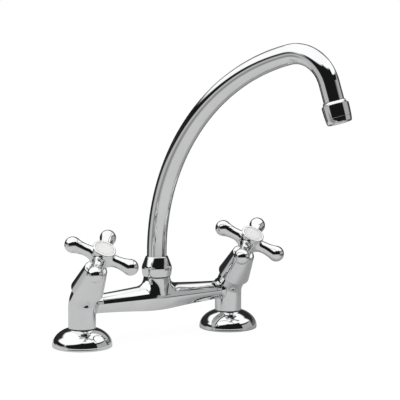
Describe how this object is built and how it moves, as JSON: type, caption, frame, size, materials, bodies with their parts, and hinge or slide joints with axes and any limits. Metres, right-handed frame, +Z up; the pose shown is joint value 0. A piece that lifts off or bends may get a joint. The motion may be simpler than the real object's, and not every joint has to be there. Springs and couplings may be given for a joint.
{
  "type": "bridge kitchen faucet",
  "caption": "Deck-mounted bridge kitchen faucet with leaning cross-handle valves, a tapered bridge and a tall swivelling swan-neck spout.",
  "frame": {"origin": "on the top of the deck, midway between the two tails", "axes": "+X along the bridge to the right-hand pillar, -Y to the front where the user stands, +Z up"},
  "size_m": [0.2425, 0.2546, 0.3598],
  "materials": {
    "chrome": "polished chrome plate",
    "brass": "machined brass",
    "steel": "plain stainless steel",
    "rubber": "moulded black rubber",
    "ceramic": "lapped white ceramic",
    "plastic": "moulded off-white plastic",
    "enamel": "bare white enamel disc"
  },
  "bodies": {
    "base": {"left_flange": "chrome", "left_gasket": "rubber", "left_tail": "brass", "left_deck_washer": "steel", "left_backnut": "brass", "left_pillar": "chrome", "left_valve_cover": "chrome", "left_valve_body": "brass", "left_valve_seal": "rubber", "left_fixed_disc": "ceramic", "right_flange": "chrome", "right_gasket": "rubber", "right_tail": "brass", "right_deck_washer": "steel", "right_backnut": "brass", "right_pillar": "chrome", "right_valve_cover": "chrome", "right_valve_body": "brass", "right_valve_seal": "rubber", "right_fixed_disc": "ceramic", "bridge": "chrome", "spout_nut": "chrome", "spout_bush": "plastic"},
    "left_handle_set": {"left_spindle": "brass", "left_spindle_seals": "rubber", "left_spindle_clip": "steel", "left_moving_disc": "ceramic", "left_handle": "chrome", "left_handle_screw": "steel", "left_handle_cap": "chrome", "left_index": "enamel"},
    "right_handle_set": {"right_spindle": "brass", "right_spindle_seals": "rubber", "right_spindle_clip": "steel", "right_moving_disc": "ceramic", "right_handle": "chrome", "right_handle_screw": "steel", "right_handle_cap": "chrome", "right_index": "enamel"},
    "spout": {"spout_tube": "chrome", "spout_collar": "brass", "spout_seals": "rubber", "spout_ferrule": "chrome", "aerator_ring": "chrome", "aerator_insert": "plastic", "aerator_washer": "rubber"}
  },
  "joints": [
    {"name": "left_handle_turn", "type": "hinge", "parent": "base", "child": "left_handle_set", "pos_m": [-0.09, 0, 0.0447], "axis": [0, -0.5934, 0.8049], "range_deg": [0, 90]},
    {"name": "right_handle_turn", "type": "hinge", "parent": "base", "child": "right_handle_set", "pos_m": [0.09, 0, 0.0447], "axis": [0, -0.5934, 0.8049], "range_deg": [-90, 0]},
    {"name": "spout_swivel", "type": "hinge", "parent": "base", "child": "spout", "pos_m": [0, 0, 0], "axis": [0, 0, 1], "continuous": true}
  ]
}
